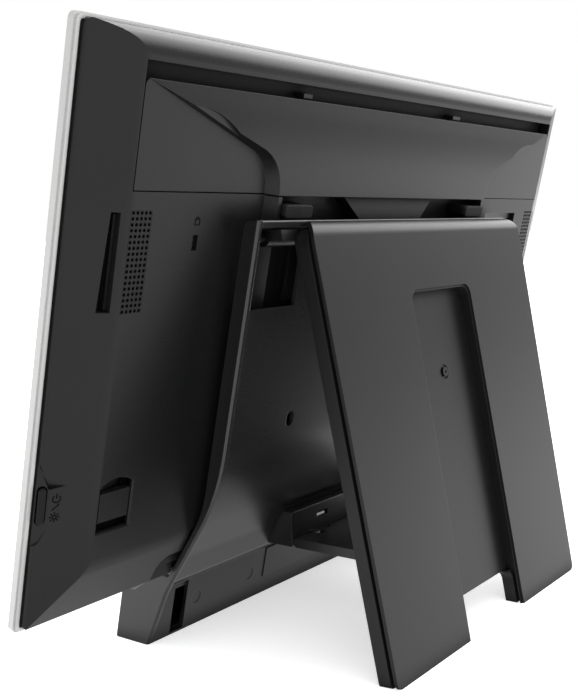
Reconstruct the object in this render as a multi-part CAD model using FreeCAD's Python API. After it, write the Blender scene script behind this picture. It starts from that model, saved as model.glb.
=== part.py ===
import FreeCAD, Part
import math
import os

from FreeCAD import Vector

# Digital photo frame, millimetres.  +X is the width, +Y points to the rear, +Z is up.
# The origin is on the table, at the centre of the object's footprint.

# ---- driving dimensions ------------------------------------------------------------------
WIDTH = 460.0             # display head, side to side
FRAME_LOW, FRAME_HIGH = 3.2, 269.0     # display head, bottom and top, along its own face
TILT = 12.66              # the display leans back by this many degrees
HEAD_Y = -46.7            # where the display's coordinates start, just under its front edge
HEAD_Z = 39.8
SCREEN_W, SCREEN_H = 409.8, 230.4      # lit area of an 18.5 inch panel

BEZEL_DEPTH = 3.7         # silver front frame
MID_DEPTH = 5.1           # rear of the dark middle frame
SHELL_FRONT = 5.5         # the rear cover starts here, after a thin shadow gap
PLATEAU = 16.5            # flat back of the rear cover
HUMP = 22.2               # raised middle of the back
STEP_DEPTH = 4.9          # narrow silver step behind the front frame
SHELL_INSET = 3.3         # rear cover edge, in from the bezel's outline
WALL = 2.2                # moulded wall thickness

PLATE_HALF = 131.3        # stand front plate, half its width
PLATE_REAR = 30.0         # rear edge of its side walls, measured square to the display
PLATE_WALL = 3.8
WEB = 2.4

LEG_LEAN = 10.57
LEG_THICK = 10.6
LEG_REAR_Y = 81.3         # rear face of the leg where it meets the table
LEG_HALF_LOW, LEG_HALF_TOP = 106.9, 112.3
LEG_LENGTH = 225.5
CHANNEL_HALF = 32.0       # channel down the middle of the leg, and the notch between its feet
HINGE_Y, HINGE_Z = 19.3, 212.5

BRACE_HALF = 50.0
CLEAR = 0.3               # air between separate moulded pieces
MOVING = 0.4              # air around pieces that move

SIN_T, COS_T = math.sin(math.radians(TILT)), math.cos(math.radians(TILT))
SIN_L, COS_L = math.sin(math.radians(LEG_LEAN)), math.cos(math.radians(LEG_LEAN))


# ---- small helpers -----------------------------------------------------------------------
def box(x0, x1, y0, y1, z0, z1):
    return Part.makeBox(x1 - x0, y1 - y0, z1 - z0, Vector(x0, y0, z0))


def rod(radius, start, end):
    start, end = Vector(*start), Vector(*end)
    return Part.makeCylinder(radius, (end - start).Length, start, end - start)


def outline(corners, to_point):
    """Closed wire through (a, b, radius) corners, each rounded by its radius."""
    count = len(corners)
    entries, exits, edges = [], [], []
    for i, (a, b, radius) in enumerate(corners):
        here = Vector(a, b, 0)
        before = Vector(*corners[i - 1][:2], 0) - here
        after = Vector(*corners[(i + 1) % count][:2], 0) - here
        if radius == 0:
            entries.append(here)
            exits.append(here)
            continue
        reach = radius / math.tan(before.getAngle(after) / 2)
        entries.append(here + before.normalize() * reach)
        exits.append(here + after.normalize() * reach)
        middle = here + (before + after).normalize() * (math.hypot(radius, reach) - radius)
        arc = Part.Arc(*(to_point(p.x, p.y) for p in (entries[i], middle, exits[i])))
        edges.append(arc.toShape())
    for i in range(count):
        start, end = exits[i], entries[(i + 1) % count]
        if (end - start).Length > 1e-6:
            edges.append(Part.makeLine(to_point(start.x, start.y), to_point(end.x, end.y)))
    return Part.Wire(Part.sortEdges(edges)[0])


def prism_x(corners, x0, x1):
    """(y, z, radius) outline pulled along X."""
    wire = outline(corners, lambda y, z: Vector(x0, y, z))
    return Part.Face(wire).extrude(Vector(x1 - x0, 0, 0))


def prism_y(corners, y0, y1):
    """(x, z, radius) outline pulled along Y."""
    wire = outline(corners, lambda x, z: Vector(x, y0, z))
    return Part.Face(wire).extrude(Vector(0, y1 - y0, 0))


def prism_z(corners, z0, z1):
    """(x, y, radius) outline pulled along Z."""
    wire = outline(corners, lambda x, y: Vector(x, y, z0))
    return Part.Face(wire).extrude(Vector(0, 0, z1 - z0))


def plate(x0, x1, y0, y1, z0, z1, radius):
    """Box with rounded corners in the X-Z outline, pulled along Y."""
    return prism_y([(x0, z0, radius), (x1, z0, radius), (x1, z1, radius), (x0, z1, radius)], y0, y1)


def union(shapes):
    return shapes[0].multiFuse(shapes[1:]).removeSplitter()


def both_sides(shape):
    """The shape and its mirror image across the middle plane."""
    return [shape, shape.mirror(Vector(0, 0, 0), Vector(1, 0, 0))]


def head(shape):
    """From display coordinates (x across, y rearwards, z up the face) to the world."""
    shape.rotate(Vector(0, 0, 0), Vector(1, 0, 0), -TILT)
    shape.translate(Vector(0, HEAD_Y, HEAD_Z))
    return shape


def leg(shape):
    """From leg coordinates (y = 0 on its front face, z up its length) to the world."""
    shape.rotate(Vector(0, 0, 0), Vector(1, 0, 0), LEG_LEAN)
    shape.translate(Vector(0, LEG_REAR_Y - LEG_THICK * COS_L, -LEG_THICK * SIN_L))
    return shape


def head_point(y, z):
    """World (y, z) of a point given square to the display and up its face."""
    return HEAD_Y + z * SIN_T + y * COS_T, HEAD_Z + z * COS_T - y * SIN_T


# ---- display head: frame, glass and what is inside ---------------------------------------
EDGE = WIDTH / 2
GLASS_MARGIN = 8.0        # silver rim around the glass
GLASS_THICK = 1.1
GLASS_FRONT = 0.4         # the glass sits just behind the rim
LCD_THICK = 1.6
GUIDE_THICK = 2.4
CHASSIS_THICK = 0.8
STEP_OUTER, STEP_INNER = 0.9, 2.5         # silver step, in from the display's outline
SCREEN_LOW = (FRAME_LOW + FRAME_HIGH - SCREEN_H) / 2
LCD_MARGIN = 4.0
LCD_FRONT = GLASS_FRONT + GLASS_THICK
GUIDE_FRONT = LCD_FRONT + LCD_THICK
CHASSIS_FRONT = GUIDE_FRONT + GUIDE_THICK
BOARD_FRONT = CHASSIS_FRONT + CHASSIS_THICK + 2.0
BOARD_THICK = 1.6
SCREW_HOLE = 1.5
SCREW_SHANK = 1.45


def frame_plate(inset, y0, y1, radius):
    """Slab brought in by inset from the display's outline."""
    return plate(-EDGE + inset, EDGE - inset, y0, y1, FRAME_LOW + inset, FRAME_HIGH - inset, radius)


def front_bezel():
    """Silver rim around the glass, with a narrow step behind it."""
    rim = frame_plate(0, 0, BEZEL_DEPTH, 3.0)
    front_edges = [e for e in rim.Edges if e.BoundBox.YMax < 1e-6]
    rim = rim.makeFillet(0.7, front_edges)
    step = frame_plate(STEP_OUTER, BEZEL_DEPTH, STEP_DEPTH, 2.4).cut(
        frame_plate(STEP_INNER, 0, STEP_DEPTH + 1, 1.5))
    return head(rim.cut(frame_plate(GLASS_MARGIN, -1, BEZEL_DEPTH + 1, 1.5)).fuse(step))


COVER_SCREWS = [(side * 214.0, z) for side in (-1, 1) for z in (16.0, 120.0, 236.0)]


def mid_frame():
    """Dark frame behind the rim; its outer edge is low, which leaves a shadow gap."""
    ring = frame_plate(STEP_INNER + 0.2, BEZEL_DEPTH, MID_DEPTH - 0.8, 1.5).fuse(
        frame_plate(STEP_INNER + 1.3, BEZEL_DEPTH, MID_DEPTH, 1.5))
    ring = ring.cut(plate(-209.5, 209.5, 0, MID_DEPTH + 1, FRAME_LOW + 13, FRAME_HIGH - 13, 1.5))
    for x, z in COVER_SCREWS:
        ring = ring.cut(rod(SCREW_HOLE, (x, 0, z), (x, MID_DEPTH + 1, z)))
    return head(ring.removeSplitter())


def front_glass():
    return head(frame_plate(GLASS_MARGIN + 0.1, GLASS_FRONT, GLASS_FRONT + GLASS_THICK, 1.4))


def panel_box(grow, y0, y1):
    """Slab as large as the screen, grown by a margin on every side."""
    half = SCREEN_W / 2 + grow
    return box(-half, half, y0, y1, SCREEN_LOW - grow, SCREEN_LOW + SCREEN_H + grow)


def lcd_panel():
    return head(panel_box(LCD_MARGIN, LCD_FRONT, GUIDE_FRONT))


def light_guide():
    return head(panel_box(LCD_MARGIN, GUIDE_FRONT, CHASSIS_FRONT))


BOARD_POSTS = [(x, z) for x in (-60.0, 40.0) for z in (104.0, 176.0)]
SMALL_POSTS = [(90.0, 110.0), (90.0, 146.0), (74.0, 176.0)]


def inner_chassis():
    sheet = panel_box(LCD_MARGIN + 1, CHASSIS_FRONT, CHASSIS_FRONT + CHASSIS_THICK)
    posts = [rod(3.0, (x, CHASSIS_FRONT, z), (x, BOARD_FRONT, z)) for x, z in BOARD_POSTS + SMALL_POSTS]
    return head(union([sheet] + posts))


def circuit_board(x0, x1, z0, z1, chips, holes):
    """Board with its parts standing on the rear; chips are (x, z, width, height, rise)."""
    board = box(x0, x1, BOARD_FRONT, BOARD_FRONT + BOARD_THICK, z0, z1)
    top = BOARD_FRONT + BOARD_THICK
    parts = [box(x, x + w, top, top + rise, z, z + h) for x, z, w, h, rise in chips]
    solid = union([board] + parts)
    for x, z in holes:
        solid = solid.cut(rod(1.6, (x, BOARD_FRONT - 1, z), (x, top + 1, z)))
    return head(solid)


def main_board():
    chips = [(-30, 130, 18, 18, 1.4), (0, 128, 12, 20, 1.0), (20, 150, 14, 9, 2.2),
             (-52, 150, 10, 14, 1.2), (-20, 112, 26, 8, 1.8)]
    return circuit_board(-68, 48, 98, 182, chips, BOARD_POSTS)


def led_driver_board():
    chips = [(66, 112, 12, 12, 2.6), (84, 112, 8, 16, 2.0), (66, 136, 26, 5, 1.6)]
    return circuit_board(62, 98, 106, 150, chips, [])


def wifi_module():
    return circuit_board(62, 86, 158, 180, [(66, 162, 14, 13, 1.3)], [])


def ribbon_cable():
    """Flat cable from the main board to the screen's lower edge."""
    y = BOARD_FRONT + BOARD_THICK / 2
    run = box(-16, 12, y, y + 0.4, 37, 98)
    drop = box(-16, 12, CHASSIS_FRONT + CHASSIS_THICK, y + 0.4, 36.6, 37)
    return head(union([run, drop]))


def board_screws():
    top = BOARD_FRONT + BOARD_THICK
    screws = []
    for x, z in BOARD_POSTS:
        screws.append(union([rod(1.3, (x, BOARD_FRONT, z), (x, top, z)),
                             rod(2.6, (x, top, z), (x, top + 1.2, z))]))
    return head(Part.makeCompound(screws))


# ---- rear cover --------------------------------------------------------------------------
SHELL_EDGE = EDGE - SHELL_INSET
SHELL_LOW, SHELL_HIGH = FRAME_LOW + 1.6, FRAME_HIGH - 1.5
CREASE = 201.3            # the flat back ends here and the sides slope away
FLAT_LOW = 31.0           # the bottom slope ends here
LIP = 1.8                 # short upright edge of the shell


def shell_solid(inset, top):
    """Solid inside the rear cover's outline, brought in on every side."""
    side = SHELL_EDGE - inset
    low, high = SHELL_LOW + inset, SHELL_HIGH - inset
    rim = SHELL_FRONT + LIP - inset
    flat = CREASE - inset * 0.2
    across = [(-side, 0, 0), (side, 0, 0), (side, rim, 2.0), (flat, top, 14.0),
              (-flat, top, 14.0), (-side, rim, 2.0)]
    upright = [(0, low, 0), (rim, low, 2.0), (top, FLAT_LOW + inset * 0.4, 24.0),
               (top, high - 4.0, 10.0), (top - 8.2, high, 4.0), (0, high, 0)]
    body = prism_z(across, low, high).common(prism_x(upright, -side, side))
    return body.common(plate(-side, side, SHELL_FRONT, top + 1, low, high, 3.0))


DOOR_HALF = 200.6
DOOR_LOW, DOOR_HIGH = 202.2, 248.5
SLOT_HIGH = 255.3         # top of the finger slot above the door
SLOT_FLOOR = 8.6
SLOT_TABS = [(84.0, 91.0), (-70.5, -61.5)]
TUB_FLOOR = 10.6
GRILLE_X, GRILLE_W = 193.6, 12.4
GRILLE_LOW, GRILLE_HIGH = 149.9, 194.3
POCKET_X = 204.6          # upright wall of the side recesses
POCKET_LOW, POCKET_HIGH = 150.6, 193.2
POCKET_FLOOR = 9.6
NOTCH_HALF = 148.0        # steps of the notch that lets the stand pass under the cover
NOTCH_STEPS = [(PLATE_HALF + 1.2, 5.2, 13.0, 1.0), (NOTCH_HALF, 7.4, 13.0, 5.0), (NOTCH_HALF, 8.9, 20.0, 8.0),
               (PLATE_HALF + 1.2, 11.0, 33.0, 1.0)]
HUMP_TOP, HUMP_BASE = 108.5, 113.1
HUMP_LOW, HUMP_HIGH = 62.0, DOOR_LOW - 0.4
HOLLOW_LOW, HOLLOW_FLOOR = 184.4, 11.0
BUMPER_X0, BUMPER_X1 = 82.0, 105.0     # rubber bumpers, on islands in the hollows
BUMPER_LOW, BUMPER_HIGH = 191.8, 198.6
BAY_IN, BAY_OUT = -126.7, -172.0       # connector bay on one side of the hump
BAY_LOW, BAY_HIGH = 138.0, 192.8
BAY_FLOOR = 10.2
WINDOW_X0, WINDOW_X1 = 178.7, 198.4    # window of the slide latch
WINDOW_LOW, WINDOW_SIDE, WINDOW_RISE = 47.8, 69.8, 3.0
LOCK_X, LOCK_Z = 158.1, 179.7
LOCK_W, LOCK_H = 3.2, 7.1
FACET = 31.8              # the power button's facet, degrees away from the display's plane
BUTTON_X, BUTTON_Y = 224.3, 7.35       # middle of the button, on the facet
BUTTON_Z0, BUTTON_Z1 = 56.0, 73.2
BUTTON_HALF = 1.8
BUTTON_OUT, BUTTON_IN = 1.6, 0.8
BUTTON_TRAVEL = 0.6
STAND_SCREWS = [(x, z) for x in (-40.0, 40.0) for z in (87.5, 160.0)]


def hump(inset):
    """Raised middle below the door, with drafted sides and a sloping lower end."""
    top = HUMP - inset
    foot = HUMP_LOW + inset - 9.0
    high = HUMP_HIGH - inset
    wires = []
    levels = ((PLATEAU - 1.0 - inset, HUMP_BASE - inset, foot), (top, HUMP_TOP - inset, HUMP_LOW + inset))
    for y, half, low in levels:
        points = [Vector(-half, y, low), Vector(half, y, low), Vector(half, y, high), Vector(-half, y, high)]
        wires.append(Part.makePolygon(points + points[:1]))
    return Part.makeLoft(wires, True, True)


def hump_hollows():
    """Two hollows under the door, either side of a raised centre."""
    hollow = prism_y([(48, HUMP_HIGH + 1, 0), (105.6, HUMP_HIGH + 1, 0), (105.6, HOLLOW_LOW, 2),
                      (25, HOLLOW_LOW, 2)], HOLLOW_FLOOR, HUMP + 1)
    island = plate(BUMPER_X0 + 0.5, BUMPER_X1 - 0.5, 0, HUMP + 1, BUMPER_LOW + 0.5, BUMPER_HIGH - 0.5, 1.8)
    return both_sides(hollow.cut(island))


def hump_wedge():
    """Takes the raised centre down towards the door, so that it slopes."""
    return prism_x([(HUMP - 4, HUMP_HIGH + 1, 0), (HUMP + 1, HUMP_HIGH + 1, 0), (HUMP + 1, HOLLOW_LOW, 0),
                    (HUMP, HOLLOW_LOW, 0)], -79, 79)


def latch_pocket():
    """Room for the latch's flange between the shell's wall and the pocket's floor."""
    return box(WINDOW_X0 - 2.6, WINDOW_X1 + 2.0, POCKET_FLOOR + 1.0, PLATEAU - WALL, 46.0, 74.5)


def side_pocket():
    """Deep recess in the sloping side, a little narrower at its top."""
    return prism_y([(POCKET_X, POCKET_LOW, 0), (210.6, POCKET_LOW, 0), (208.8, POCKET_HIGH, 0),
                    (POCKET_X, POCKET_HIGH, 0)], POCKET_FLOOR, PLATEAU + 1)


def window_wire(grow, y):
    """Outline of the latch's window, with its arched top."""
    x0, x1, low, side = WINDOW_X0 - grow, WINDOW_X1 + grow, WINDOW_LOW - grow, WINDOW_SIDE
    corners = [Vector(x0, y, side), Vector(x0, y, low), Vector(x1, y, low), Vector(x1, y, side)]
    edges = [Part.makeLine(corners[i], corners[i + 1]) for i in range(3)]
    crown = Vector((x0 + x1) / 2, y, side + WINDOW_RISE + grow)
    edges.append(Part.Arc(corners[3], crown, corners[0]).toShape())
    return Part.Wire(edges)


def latch_window():
    """Opening with a bevelled edge."""
    opening = Part.Face(window_wire(0, MID_DEPTH)).extrude(Vector(0, PLATEAU, 0))
    bevel = Part.makeLoft([window_wire(0, PLATEAU - 0.7), window_wire(0.9, PLATEAU + 0.2)], True, True)
    return opening.fuse(bevel)


def on_facet(shape):
    """From button coordinates (x across it, y out of it) to the display's."""
    shape.rotate(Vector(0, 0, 0), Vector(0, 0, 1), -FACET)
    shape.translate(Vector(BUTTON_X, BUTTON_Y, 0))
    return shape


def button_hole():
    """Round-ended hole square to the facet."""
    half = BUTTON_HALF + MOVING
    return on_facet(plate(-half, half, -8, 5, BUTTON_Z0 - MOVING, BUTTON_Z1 + MOVING, half * 0.98))


def button_scoop():
    """Cutters for the facet around the button and the small slope that leads to it."""
    slab = on_facet(box(-12, 12, 0, 8, BUTTON_Z0 - 20, BUTTON_Z1 + 20))
    spread = prism_y([(232, 44, 0), (232, 85, 0), (226.4, 83.5, 0), (220.4, 70, 6), (220.4, 57, 8),
                      (224.5, 47, 4)], 0, PLATEAU)
    drop = (PLATEAU - SHELL_FRONT - LIP) / (SHELL_EDGE - CREASE)
    points = [Vector(x, PLATEAU - (x - CREASE) * drop - depth, z)
              for x, z, depth in ((226.4, 83.2, 0.0), (214.8, 73.6, 0.0), (222.0, 72.0, 2.6))]
    lead = Part.Face(Part.makePolygon(points + points[:1])).extrude(Vector(0, 6, 0))
    return [slab.common(spread), lead]


def grille_opening(side):
    x = side * GRILLE_X
    return box(x - GRILLE_W / 2, x + GRILLE_W / 2, MID_DEPTH, PLATEAU + 1, GRILLE_LOW, GRILLE_HIGH)


def cover_cavity():
    """Everything hollow inside the rear cover."""
    inner = shell_solid(WALL, PLATEAU - WALL)
    front = box(-SHELL_EDGE + WALL, SHELL_EDGE - WALL, MID_DEPTH, SHELL_FRONT + 0.5,
                SHELL_LOW + WALL, SHELL_HIGH - WALL)
    inner = inner.fuse(front).fuse(hump(WALL))
    kept = [box(-DOOR_HALF - WALL, DOOR_HALF + WALL, TUB_FLOOR - WALL, HUMP,
                DOOR_LOW - WALL, DOOR_HIGH),
            box(-DOOR_HALF - WALL, DOOR_HALF + WALL, SLOT_FLOOR - WALL, PLATEAU,
                DOOR_HIGH - 2.5 - WALL, SLOT_HIGH + WALL),
            box(BAY_OUT - WALL, BAY_IN + WALL, BAY_FLOOR - WALL, PLATEAU, BAY_LOW - WALL, BAY_HIGH + WALL),
            box(-108.2, 108.2, HOLLOW_FLOOR - 2.0, HUMP, HOLLOW_LOW - 2.0, DOOR_LOW),
            box(WINDOW_X0 - 4.6, WINDOW_X1 + 4.0, POCKET_FLOOR - 1.0, PLATEAU, 44.0, 76.5),
            box(212.5, SHELL_EDGE, MID_DEPTH + 1, PLATEAU, 74.0, 86.0),
            box(212.5, 219.0, MID_DEPTH + 1, PLATEAU, 69.0, 86.0)]
    kept += both_sides(box(POCKET_X - WALL, 212.8, POCKET_FLOOR - 2.0, PLATEAU,
                           POCKET_LOW - WALL, POCKET_HIGH + WALL))
    for half, depth, high, _ in NOTCH_STEPS:
        kept.append(box(-half - WALL, half + WALL, depth - WALL + 0.1, PLATEAU, 0, high + WALL))
    kept += [rod(3.6, (x, MID_DEPTH, z), (x, PLATEAU, z)) for x, z in COVER_SCREWS]
    kept += [rod(4.0, (x, PLATEAU - WALL, z), (x, HUMP, z)) for x, z in STAND_SCREWS]
    for block in kept:
        inner = inner.cut(block)
    return inner


def rear_cover():
    shell = shell_solid(0, PLATEAU).fuse(hump(0)).cut(cover_cavity())
    tabs = union([box(x0, x1, SLOT_FLOOR, PLATEAU - 1.6, DOOR_HIGH + 0.6, DOOR_HIGH + 2.6)
                  for x0, x1 in SLOT_TABS])
    cuts = [box(-DOOR_HALF, DOOR_HALF, TUB_FLOOR, HUMP + 1, DOOR_LOW, DOOR_HIGH - 2.5),
            box(-DOOR_HALF, DOOR_HALF, PLATEAU - WALL, HUMP + 1, DOOR_LOW, DOOR_HIGH),
            box(-DOOR_HALF, DOOR_HALF, SLOT_FLOOR, PLATEAU + 1, DOOR_HIGH - 2.5, SLOT_HIGH).cut(tabs),
            prism_x([(BAY_FLOOR, BAY_HIGH, 0), (PLATEAU + 1, BAY_HIGH, 0), (PLATEAU + 1, BAY_LOW, 0)],
                    BAY_OUT, BAY_IN),
            latch_window(), latch_pocket(), button_hole(), hump_wedge(),
            box(LOCK_X - LOCK_W / 2, LOCK_X + LOCK_W / 2, MID_DEPTH, PLATEAU + 1,
                LOCK_Z - LOCK_H / 2, LOCK_Z + LOCK_H / 2),
            grille_opening(1), grille_opening(-1)]
    cuts += both_sides(side_pocket()) + hump_hollows() + button_scoop()
    for half, depth, high, corner in NOTCH_STEPS:
        cuts.append(plate(-half, half, depth, HUMP + 1, -20, high, corner))
    cuts += [rod(SCREW_HOLE, (x, 0, z), (x, 10.0, z)) for x, z in COVER_SCREWS]
    cuts += [rod(SCREW_HOLE, (x, PLATEAU + 1, z), (x, HUMP + 1, z)) for x, z in STAND_SCREWS]
    for cut in cuts:
        shell = shell.cut(cut)
    return head(shell.removeSplitter())


def cover_screws():
    """Self-tapping screws driven from the front through the middle frame."""
    screws = []
    for x, z in COVER_SCREWS:
        screws.append(union([rod(SCREW_SHANK, (x, BEZEL_DEPTH, z), (x, 9.4, z)),
                             rod(2.6, (x, BEZEL_DEPTH - 1.2, z), (x, BEZEL_DEPTH, z))]))
    return head(Part.makeCompound(screws))


def grille(side):
    """Perforated insert: five columns by eighteen rows of holes."""
    pitch, hole = 2.5, 0.78
    columns, rows = 5, 18
    x = side * GRILLE_X
    middle = (GRILLE_LOW + GRILLE_HIGH) / 2
    slab = box(x - GRILLE_W / 2, x + GRILLE_W / 2, PLATEAU - 1.6, PLATEAU, GRILLE_LOW, GRILLE_HIGH)
    holes = []
    for i in range(columns):
        for j in range(rows):
            hx = x + (i - (columns - 1) / 2) * pitch
            hz = middle + (j - (rows - 1) / 2) * pitch
            holes.append(rod(hole, (hx, PLATEAU - 3, hz), (hx, PLATEAU + 1, hz)))
    return head(slab.cut(Part.makeCompound(holes)))


def speaker(side):
    """Closed loudspeaker box behind its grille."""
    x0, x1 = sorted((side * (GRILLE_X - 8.5), side * (GRILLE_X + 4.5)))
    z = (GRILLE_LOW + GRILLE_HIGH) / 2
    return head(box(x0, x1, BOARD_FRONT + 0.8, PLATEAU - WALL, z - 24, z + 24))


# ---- door, latch, button and small fittings ----------------------------------------------
DOOR_ARC_FROM = 213.0     # the door's raised middle is flat below this, and curves down above it
DOOR_GAP = 0.5
RAISE_BASE = [(199.4, 248.2, 0), (115.0, 218.6, 20.0), (HUMP_BASE, DOOR_LOW + CLEAR, 0)]
RAISE_TOP = [(193.0, 248.2, 0), (110.0, 219.4, 22.0), (HUMP_TOP, DOOR_LOW + CLEAR, 0)]
GRIP_X, GRIP_Z = 156.0, 234.4          # middle of the finger grips
GRIP_RADIUS, GRIP_DEPTH = 46.0, 2.8


def door_raise():
    """Raised middle of the door: a drafted trapezium under a rounded top."""
    wires = []
    for y, half in ((PLATEAU - 0.5, RAISE_BASE), (HUMP, RAISE_TOP)):
        ring = [(-x, z, radius) for x, z, radius in half] + list(reversed(half))
        wires.append(outline(ring, lambda x, z, y=y: Vector(x, y, z)))
    block = Part.makeLoft(wires, True, True)
    drop, run = HUMP - PLATEAU, DOOR_HIGH - DOOR_ARC_FROM
    radius = (drop * drop + run * run) / (2 * drop)
    crown = Part.makeCylinder(radius, WIDTH, Vector(-EDGE, HUMP - radius, DOOR_ARC_FROM), Vector(1, 0, 0))
    flat = box(-EDGE, EDGE, 0, HUMP, DOOR_LOW - 1, DOOR_ARC_FROM)
    return block.common(crown.fuse(flat))


def finger_grips():
    """Lens-shaped bites out of the upper half of the raised part's slanting sides."""
    slant = math.atan2(RAISE_BASE[0][1] - RAISE_BASE[1][1], RAISE_BASE[0][0] - RAISE_BASE[1][0])
    reach = GRIP_RADIUS - GRIP_DEPTH
    x = GRIP_X + reach * math.sin(slant)
    z = GRIP_Z - reach * math.cos(slant)
    return both_sides(rod(GRIP_RADIUS, (x, PLATEAU + 2.4, z), (x, HUMP + 1, z)))


def back_door():
    half, low, high = DOOR_HALF - DOOR_GAP, DOOR_LOW + DOOR_GAP, DOOR_HIGH - CLEAR
    slab = prism_y([(-half, low, 0.5), (half, low, 0.5), (half, high, 3.0), (-half, high, 3.0)],
                   PLATEAU - 2.0, PLATEAU)
    door = slab.fuse(door_raise())
    door = door.cut(box(-102, 102, PLATEAU - 3, HUMP - 2.4, DOOR_LOW + 3, 226))
    for grip in finger_grips():
        door = door.cut(grip)
    pegs = [box(x - 5, x + 5, PLATEAU - 5.2, PLATEAU - 1.9, DOOR_LOW + 1.0, DOOR_LOW + 3.0)
            for x in (-160, -60, 60, 160)]
    return head(union([door] + pegs))


def slide_latch():
    """Sunken plate with a hidden flange that keeps it in its window."""
    rear = PLATEAU - WALL - MOVING
    gap = 0.7
    face = plate(WINDOW_X0 + gap, WINDOW_X1 - gap, rear - 1.6, PLATEAU - 0.8, 52.6, 66.6, 0.5)
    flange = box(WINDOW_X0 - 1.8, WINDOW_X1 + 1.0, rear - 1.6, rear, 53.0, 66.2)
    return head(union([face, flange]))


def power_button():
    cap = plate(-BUTTON_HALF, BUTTON_HALF, -BUTTON_IN, BUTTON_OUT, BUTTON_Z0, BUTTON_Z1, BUTTON_HALF * 0.98)
    outer = [edge for edge in cap.Edges if edge.BoundBox.YMin > BUTTON_OUT - 0.01]
    return head(on_facet(cap.makeFillet(0.9, outer)))


def button_switch():
    """Low tact switch under the power button, on the middle frame."""
    depth = BUTTON_IN + BUTTON_TRAVEL + 0.2
    switch = on_facet(box(-1.4, 1.2, -depth - 2.0, -depth, 60.5, 68.5))
    return head(switch.common(box(0, EDGE, MID_DEPTH, PLATEAU, 0, FRAME_HIGH)))


def rubber_bumpers():
    pad = plate(BUMPER_X0, BUMPER_X1, HUMP, HUMP + 2.6, BUMPER_LOW, BUMPER_HIGH, 2.2)
    outer = [edge for edge in pad.Edges if edge.BoundBox.YMin > HUMP + 2.5]
    return head(Part.makeCompound(both_sides(pad.makeFillet(0.8, outer))))


def lock_plate():
    """Steel plate behind the security slot."""
    rear = PLATEAU - WALL
    steel = box(LOCK_X - 8, LOCK_X + 8, rear - 1.4, rear, LOCK_Z - 9, LOCK_Z + 9)
    slot = box(LOCK_X - LOCK_W / 2, LOCK_X + LOCK_W / 2, rear - 2, PLATEAU,
               LOCK_Z - LOCK_H / 2, LOCK_Z + LOCK_H / 2)
    return head(steel.cut(slot))


def port_block(side, openings):
    """Connector body against a side recess's wall; openings are (z, length, height)."""
    x0, x1 = sorted((side * POCKET_X, side * (POCKET_X + 1.8)))
    body = box(x0, x1, POCKET_FLOOR, 13.0, POCKET_LOW + 1, POCKET_HIGH - 1)
    middle = (POCKET_FLOOR + 13.0) / 2
    mouth0, mouth1 = sorted((side * (POCKET_X + 0.8), side * (POCKET_X + 5)))
    for z, length, height in openings:
        body = body.cut(box(mouth0, mouth1, middle - height / 2, middle + height / 2, z, z + length))
    return head(body)


def connector_block():
    """Power inlet and video socket at the top of the connector bay, facing down."""
    low = BAY_HIGH - 4.0
    y0, y1 = BAY_FLOOR + 0.8, BAY_FLOOR + 3.6
    body = box(BAY_OUT + 1, BAY_IN - 1, y0, y1, low, BAY_HIGH)
    y = (y0 + y1) / 2
    barrel = rod(1.0, (BAY_OUT + 9, y, low - 1), (BAY_OUT + 9, y, low + 3))
    video = box(BAY_IN - 24, BAY_IN - 12, y - 0.9, y + 0.9, low - 1, low + 3)
    return head(body.cut(barrel).cut(video))


# ---- stand front plate -------------------------------------------------------------------
FOOT_FRONT_Y = -81.3
FOOT_REAR_Y = -58.0
FOOT_TOP = 28.7
BAND_TOP = 30.0
PLATE_TOP = 221.0
BAR_THICK = 3.6
RIM_DEPTH = 8.3
RIM_LOW_DEPTH = 4.2       # the side walls are shallower below the bend
BEND_RADIUS = 120.0
UPPER_SLOPE = math.tan(math.radians(TILT))
LOWER_SLOPE = 0.687
KNEE_Y, KNEE_Z = -43.35, 31.0
WEB_REAR = 29.4           # the web sits a little in front of the walls' rear edge
WEB_BEND_Y, WEB_BEND_Z = -31.8, 51.2
OPENING_X0, OPENING_X1 = 92.0, PLATE_HALF - PLATE_WALL
OPENING_Z0, OPENING_Z1 = 179.0, PLATE_TOP - BAR_THICK
PIN_RADIUS = 1.8
PIN_FIT = 0.05
BARREL = 3.9
BRACE_Y, BRACE_Z = -18.4, 40.75        # brace pivot
BRACE_HALF_THICK = 2.75
BRACE_PIN = 1.5
BOSS_REAR = -21.7
BOSS_LOW, BOSS_HIGH = 38.0, 57.8
EAR_X0, EAR_X1 = 29.0, 34.0
PAD_THICK = 1.0
MARK_RADIUS, MARK_DEPTH = 3.6, 0.25      # round marks left by the mould's ejector pins
RING_X0, RING_X1 = 92.4, 99.0          # bracket's ring on the hinge pin
BARREL_X0, BARREL_X1 = 100.0, 122.0    # leg's barrel on the same pin


def rear_line(depth, z):
    """World y, at height z, of the plane this far behind the display's face."""
    return HEAD_Y + depth / COS_T + (z - HEAD_Z) * UPPER_SLOPE


def on_plane(y, z, slope, depth):
    """Where the line through (y, z) meets the plane this far behind the display's face."""
    height = (rear_line(depth, 0) - y + slope * z) / (slope - UPPER_SLOPE)
    return rear_line(depth, height), height


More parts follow.
